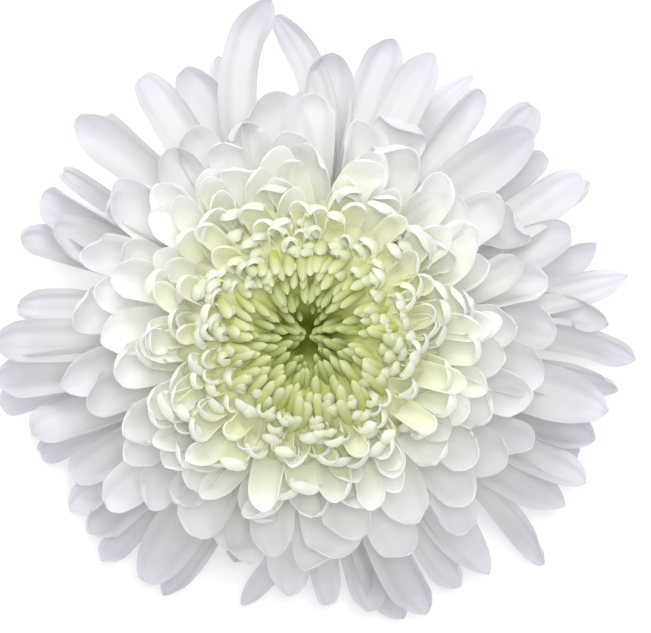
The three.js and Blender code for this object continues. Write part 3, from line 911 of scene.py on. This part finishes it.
def a_colour(name, description, *colour):
    return bpy.props.FloatVectorProperty(
        name=name, description=description, default=srgb(*colour), subtype="COLOR", min=0, max=1
    )


def a_number(name, description, default, low=0, **options):
    return bpy.props.FloatProperty(name=name, description=description, default=default, min=low, **options)


def a_length(name, description, millimetres):
    return a_number(name, description, millimetres * MM, precision=5, unit="LENGTH")


# The zones of petal colours from the axis outwards, each with a root and a tip colour below.
PETAL_ZONES = ("hollow", "eye", "cream", "pale", "white")


class HeadSettings(bpy.types.PropertyGroup):
    """Sizes, colours and finishes of the head that a user would change."""

    quill_thickness: a_length("Quill thickness", "Thickness of the narrow florets of the eye", 0.4)
    spoon_thickness: a_length("Spoon thickness", "Thickness of the florets round the eye", 0.55)
    second_thickness: a_length("Second thickness", "Thickness of the second row", 0.52)
    edge_thickness: a_length("Edge thickness", "Thickness of the outermost florets", 0.5)
    bract_thickness: a_length("Bract thickness", "Thickness of the bracts", 0.6)
    spoon_ridges: a_length("Spoon ridges", "Height of the ridges round the eye", 0.06)
    second_ridges: a_length("Second ridges", "Height of the ridges of the second row", 0.22)
    edge_ridges: a_length("Edge ridges", "Height of the ridges at the edge", 0.26)
    spoon_ripple: a_length("Spoon ripple", "How far the margins round the eye ripple", 0.25)
    second_ripple: a_length("Second ripple", "How far the margins of the second row ripple", 0.8)
    edge_ripple: a_length("Edge ripple", "How far the margins at the edge ripple", 0.9)
    stem_ribs: a_length("Stem ribs", "Height of the ribs of the stem", 0.3)
    translucency: a_number("Translucency", "How much light petals let through", 0.5, max=1, subtype="FACTOR")
    vein_depth: a_number("Vein depth", "How strongly the veins stand out", 0.12, max=1, subtype="FACTOR")
    hollow_root: a_colour("Hollow root", "Deep down in the hollow", 118, 136, 36)
    hollow_tip: a_colour("Hollow tip", "Tips of the florets of the hollow", 190, 201, 112)
    eye_root: a_colour("Eye root", "Deep down in the eye", 198, 206, 96)
    eye_tip: a_colour("Eye tip", "Tips of the florets of the eye", 229, 233, 178)
    cream_root: a_colour("Cream root", "Deep down in the cream ring", 234, 236, 182)
    cream_tip: a_colour("Cream tip", "Tips of the cream ring", 242, 243, 232)
    pale_root: a_colour("Pale root", "Deep down in the pale ring", 248, 249, 238)
    pale_tip: a_colour("Pale tip", "Tips of the pale ring", 245, 245, 246)
    # The outermost florets' greyer, cooler white, at root and tip, is partly painted shade: it stands in for
    # the grey-lavender shade that falls on them.
    white_root: a_colour("White root", "Deep down at the edge", 229, 230, 228)
    white_tip: a_colour("White tip", "Tips of the outermost florets", 220, 220, 227)
    pith: a_colour("Pith", "Cut end of the stem and flesh of the receptacle", 214, 222, 172)
    stem_green: a_colour("Stem green", "Skin of the stem", 104, 134, 62)
    bract_deep: a_colour("Bract deep", "Bracts and cup, in the darker grain", 88, 118, 54)
    bract_pale: a_colour("Bract pale", "Bracts and cup, in the paler grain", 138, 164, 88)
    bract_margin: a_colour("Bract margin", "Papery margins of the bracts", 226, 222, 190)


class StageSettings(bpy.types.PropertyGroup):
    """The lights, the floor's glow and the camera's height."""

    sky_strength: a_number("Sky strength", "Brightness of the even studio light", 0.85)
    key_power: a_number("Key power", "Power of the soft light at the top of the picture", 14.5, unit="POWER")
    fill_power: a_number("Fill power", "Power of the soft light beside the camera", 6.5, unit="POWER")
    floor_glow: a_number("Floor glow", "How much the paper floor is lit from below", 0.15)
    camera_height: a_number("Camera height", "Height above the floor", 1.2, low=0.3, unit="LENGTH")


# Rows and columns of the skins, by piece.
STALK_GRID = (60, 7 * STALK_RIBS)
EYE_GRID = (20, 9)
SPOON_GRID = (26, 13)
SECOND_GRID = (32, 15)
EDGE_GRID = (36, 17)
RECEPTACLE_GRID = (48, 136)
CUP_GRID = (40, 72)
BRACT_GRID = (24, 13)
STEM_GRID = (80, 14 * STEM_RIBS)

STALK_ROUGHNESS = 0.6
STALK_RIB_HEIGHT = 0.6
STALK_TWIST = 0.25
STALK_RIBS_FROM = 14
PIT_DEPTH = 0.1
PITS_AROUND = 34
PITS_UPWARD = 5
PITS_FROM = 6
STEM_TWIST = 0.02
STEM_RIBS_BETWEEN = (2.6, 3.2)
# Roughness and grain scale of the turned pieces.
RECEPTACLE_FINISH = (0.6, 900.0)
STEM_FINISH = (0.5, 500.0)
# Where the stem's colours stand along its outline: pith to the rim of the cut, then skin up to the cup.
STEM_COLOUR_PLACES = (0.0, 0.16, 0.24, 0.36, 0.7, 0.85)


class FLOWER_OT_packed_stalks(bpy.types.Operator):
    """Make the dome of packed floret stalks"""

    bl_idname = "flower.packed_stalks"
    bl_label = "Packed stalks"

    def execute(self, context):
        def ribs(radius, height, turn):
            ribbed = np.cos(STALK_RIBS * turn + STALK_TWIST * height)
            return STALK_RIB_HEIGHT * ribbed * np.minimum(radius / STALK_RIBS_FROM, 1)

        shell = turned_shell(PACKED_OUTLINE, *STALK_GRID, ribs)
        shell["tipward"] = np.zeros_like(shell["tipward"])
        nodes = ("centre_florets", "inner_ray_florets", "outer_ray_florets")
        add_florets("packed_stalks", "green_floret", nodes, [shell], STALK_ROUGHNESS)
        return {"FINISHED"}


class FLOWER_OT_eye_florets(bpy.types.Operator):
    """Make the green florets of the eye"""

    bl_idname = "flower.eye_florets"
    bl_label = "Eye florets"

    def execute(self, context):
        shells = [floret_shell(spiral_floret(i), *EYE_GRID) for i in range(1, EYE_END)]
        add_florets("eye_florets", "green_floret", ("centre_florets",), shells)
        return {"FINISHED"}


class FLOWER_OT_cream_florets(bpy.types.Operator):
    """Make the cream ring of spoon-tipped florets and the pale ring round it"""

    bl_idname = "flower.cream_florets"
    bl_label = "Cream florets"

    def execute(self, context):
        rings = (("cream_florets", EYE_END, CREAM_END), ("pale_florets", CREAM_END, SPIRAL_END))
        for name, first, last in rings:
            shells = [floret_shell(spiral_floret(i), *SPOON_GRID) for i in range(first, last)]
            add_florets(name, "cream_floret", ("inner_ray_florets",), shells)
        return {"FINISHED"}


class FLOWER_OT_white_florets(bpy.types.Operator):
    """Make the white florets between the pale ring and the edge"""

    bl_idname = "flower.white_florets"
    bl_label = "White florets"

    def execute(self, context):
        shells = [floret_shell(second_floret(i), *SECOND_GRID) for i in range(len(SECOND_FLORETS))]
        add_florets("white_florets", "white_floret", ("inner_ray_florets", "outer_ray_florets"), shells)
        return {"FINISHED"}


class FLOWER_OT_edge_florets(bpy.types.Operator):
    """Make the outermost florets"""

    bl_idname = "flower.edge_florets"
    bl_label = "Edge florets"

    def execute(self, context):
        shells = [floret_shell(edge_floret(i), *EDGE_GRID) for i in range(len(EDGE_FLORETS))]
        add_florets("edge_florets", "white_floret", ("outer_ray_florets",), shells)
        return {"FINISHED"}


class FLOWER_OT_receptacle(bpy.types.Operator):
    """Make the receptacle that the florets stand on"""

    bl_idname = "flower.receptacle"
    bl_label = "Receptacle"

    def execute(self, context):
        def pits(radius, height, turn):
            pitted = np.sin(PITS_AROUND * turn) * np.sin(PITS_UPWARD * height)
            return PIT_DEPTH * pitted * np.minimum(radius / PITS_FROM, 1)

        pith = context.scene.flower_head.pith
        material = turned_material("receptacle_flesh", ((0, pith), (1, pith)), *RECEPTACLE_FINISH)
        shells = [turned_shell(RECEPTACLE_OUTLINE, *RECEPTACLE_GRID, pits)]
        object_of_shells("receptacle_flesh", shells, material, "receptacle", "receptacle")
        return {"FINISHED"}


class FLOWER_OT_bracts(bpy.types.Operator):
    """Make the cup and the rows of bracts round it"""

    bl_idname = "flower.bracts"
    bl_label = "Bracts"

    def execute(self, context):
        shells = [turned_shell(CUP_OUTLINE, *CUP_GRID)]
        for row, (count, *_) in enumerate(BRACT_ROWS):
            shells += [floret_shell(bract(row, number), *BRACT_GRID) for number in range(count)]
        material = bract_material("bract_tissue", context.scene.flower_head)
        object_of_shells("bracts", shells, material, "bract", "involucre")
        return {"FINISHED"}


class FLOWER_OT_stem(bpy.types.Operator):
    """Make the ribbed stem with its cut end"""

    bl_idname = "flower.stem"
    bl_label = "Stem"

    def execute(self, context):
        def ribs(radius, height, turn):
            ribbed = np.cos(STEM_RIBS * turn + STEM_TWIST * height)
            return head_size("stem_ribs") * ribbed * smoothstep(radius, *STEM_RIBS_BETWEEN)

        settings = context.scene.flower_head
        pith, pale, green = settings.pith, settings.bract_pale, settings.stem_green
        stops = zip(STEM_COLOUR_PLACES, (pith, pith, pale, green, green, pale))
        material = turned_material("stem_skin", stops, *STEM_FINISH)
        shells = [turned_shell(STEM_OUTLINE, *STEM_GRID, ribs)]
        object_of_shells("stem", shells, material, "stem", "stem_stub")
        return {"FINISHED"}


FRAME_PX = (651, 633)
HEAD_CENTRE_PX = (308, 335)
PIXELS_PER_METRE = 4500
SCALE_HEIGHT = 0.02
SENSOR_WIDTH = 36
CLIP_END = 20
FLOOR_HALF = 1.5
PAPER_GREY = 0.95
PAPER_ROUGHNESS = 0.9
PAPER_SHEEN = 0.1
SKY_COLOUR = (0.97, 0.98, 1.0, 1)
KEY_PLACE = (-0.1, 1.05, 1.05)
KEY_SIZE = 0.7
FILL_PLACE = (0.1, 0.15, 1.3)
FILL_SIZE = 0.4
AIM_HEIGHT = 0.03
VIEW_GAMMA = 1.35


def add_light(name, place, size, power):
    """A square soft light that looks at the head."""
    light = bpy.data.lights.new(name, "AREA")
    light.size = size
    light.energy = power
    ob = bpy.data.objects.new(name, light)
    bpy.context.scene.collection.objects.link(ob)
    ob.location = place
    towards = Vector((AXIS.x, AXIS.y, AIM_HEIGHT)) - ob.location
    ob.rotation_euler = towards.to_track_quat("-Z", "Y").to_euler()


def add_floor(glow):
    """The paper that the head rests on."""
    mesh = bpy.data.meshes.new("floor")
    corners = [(x * FLOOR_HALF, y * FLOOR_HALF, 0) for x, y in ((-1, -1), (1, -1), (1, 1), (-1, 1))]
    mesh.from_pydata(corners, [], [(0, 1, 2, 3)])
    floor = bpy.data.objects.new("floor", mesh)
    bpy.context.scene.collection.objects.link(floor)
    paper = Nodes("white_paper")
    paper.surface({
        "Base Color": (PAPER_GREY, PAPER_GREY, PAPER_GREY),
        "Roughness": PAPER_ROUGHNESS,
        "Specular IOR Level": PAPER_SHEEN,
        "Emission Color": (1, 1, 1),
        "Emission Strength": glow,
    })
    mesh.materials.append(paper.material)


def add_sky(strength):
    world = bpy.data.worlds.new("studio")
    bpy.context.scene.world = world
    world.use_nodes = True
    sky = world.node_tree.nodes["Background"]
    sky.inputs["Color"].default_value = SKY_COLOUR
    sky.inputs["Strength"].default_value = strength


def add_camera(height):
    """The camera over the middle of the picture, which lies beside the head's axis."""
    data = bpy.data.cameras.new("camera")
    camera = bpy.data.objects.new("camera", data)
    bpy.context.scene.collection.objects.link(camera)
    across = (FRAME_PX[0] / 2 - HEAD_CENTRE_PX[0]) / PIXELS_PER_METRE
    upward = (HEAD_CENTRE_PX[1] - FRAME_PX[1] / 2) / PIXELS_PER_METRE
    camera.location = (AXIS.x + across, AXIS.y + upward, height)
    data.sensor_width = SENSOR_WIDTH
    data.lens = SENSOR_WIDTH * (height - SCALE_HEIGHT) * PIXELS_PER_METRE / FRAME_PX[0]
    data.clip_end = CLIP_END
    bpy.context.scene.camera = camera


class FLOWER_OT_stage(bpy.types.Operator):
    """Add the floor, the lights and the camera"""

    bl_idname = "flower.stage"
    bl_label = "Stage"

    def execute(self, context):
        settings = context.scene.flower_stage
        add_floor(settings.floor_glow)
        add_sky(settings.sky_strength)
        add_light("key", KEY_PLACE, KEY_SIZE, settings.key_power)
        add_light("fill", FILL_PLACE, FILL_SIZE, settings.fill_power)
        add_camera(settings.camera_height)
        context.scene.view_settings.view_transform = "Standard"
        context.scene.view_settings.gamma = VIEW_GAMMA
        return {"FINISHED"}


class FLOWER_PT_panel(bpy.types.Panel):
    """Lists the pieces of the head"""

    bl_idname = "FLOWER_PT_panel"
    bl_label = "Chrysanthemum head"
    bl_space_type = "VIEW_3D"
    bl_region_type = "UI"
    bl_category = "Flower"

    def draw(self, context):
        for group in (context.scene.flower_head, context.scene.flower_stage):
            for key in group.__annotations__:
                self.layout.prop(group, key)
        for operator in OPERATORS:
            self.layout.operator(operator.bl_idname)


OPERATORS = (
    FLOWER_OT_packed_stalks,
    FLOWER_OT_eye_florets,
    FLOWER_OT_cream_florets,
    FLOWER_OT_white_florets,
    FLOWER_OT_edge_florets,
    FLOWER_OT_receptacle,
    FLOWER_OT_bracts,
    FLOWER_OT_stem,
    FLOWER_OT_stage,
)
CLASSES = (HeadSettings, StageSettings, *OPERATORS, FLOWER_PT_panel)


def register():
    for cls in CLASSES:
        bpy.utils.register_class(cls)
    bpy.types.Scene.flower_head = bpy.props.PointerProperty(type=HeadSettings)
    bpy.types.Scene.flower_stage = bpy.props.PointerProperty(type=StageSettings)


def unregister():
    del bpy.types.Scene.flower_stage
    del bpy.types.Scene.flower_head
    for cls in reversed(CLASSES):
        bpy.utils.unregister_class(cls)


def main():
    register()
    bpy.ops.flower.packed_stalks()
    bpy.ops.flower.eye_florets()
    bpy.ops.flower.cream_florets()
    bpy.ops.flower.white_florets()
    bpy.ops.flower.edge_florets()
    bpy.ops.flower.receptacle()
    bpy.ops.flower.bracts()
    bpy.ops.flower.stem()
    bpy.ops.flower.stage()


if __name__ == "__main__":
    main()
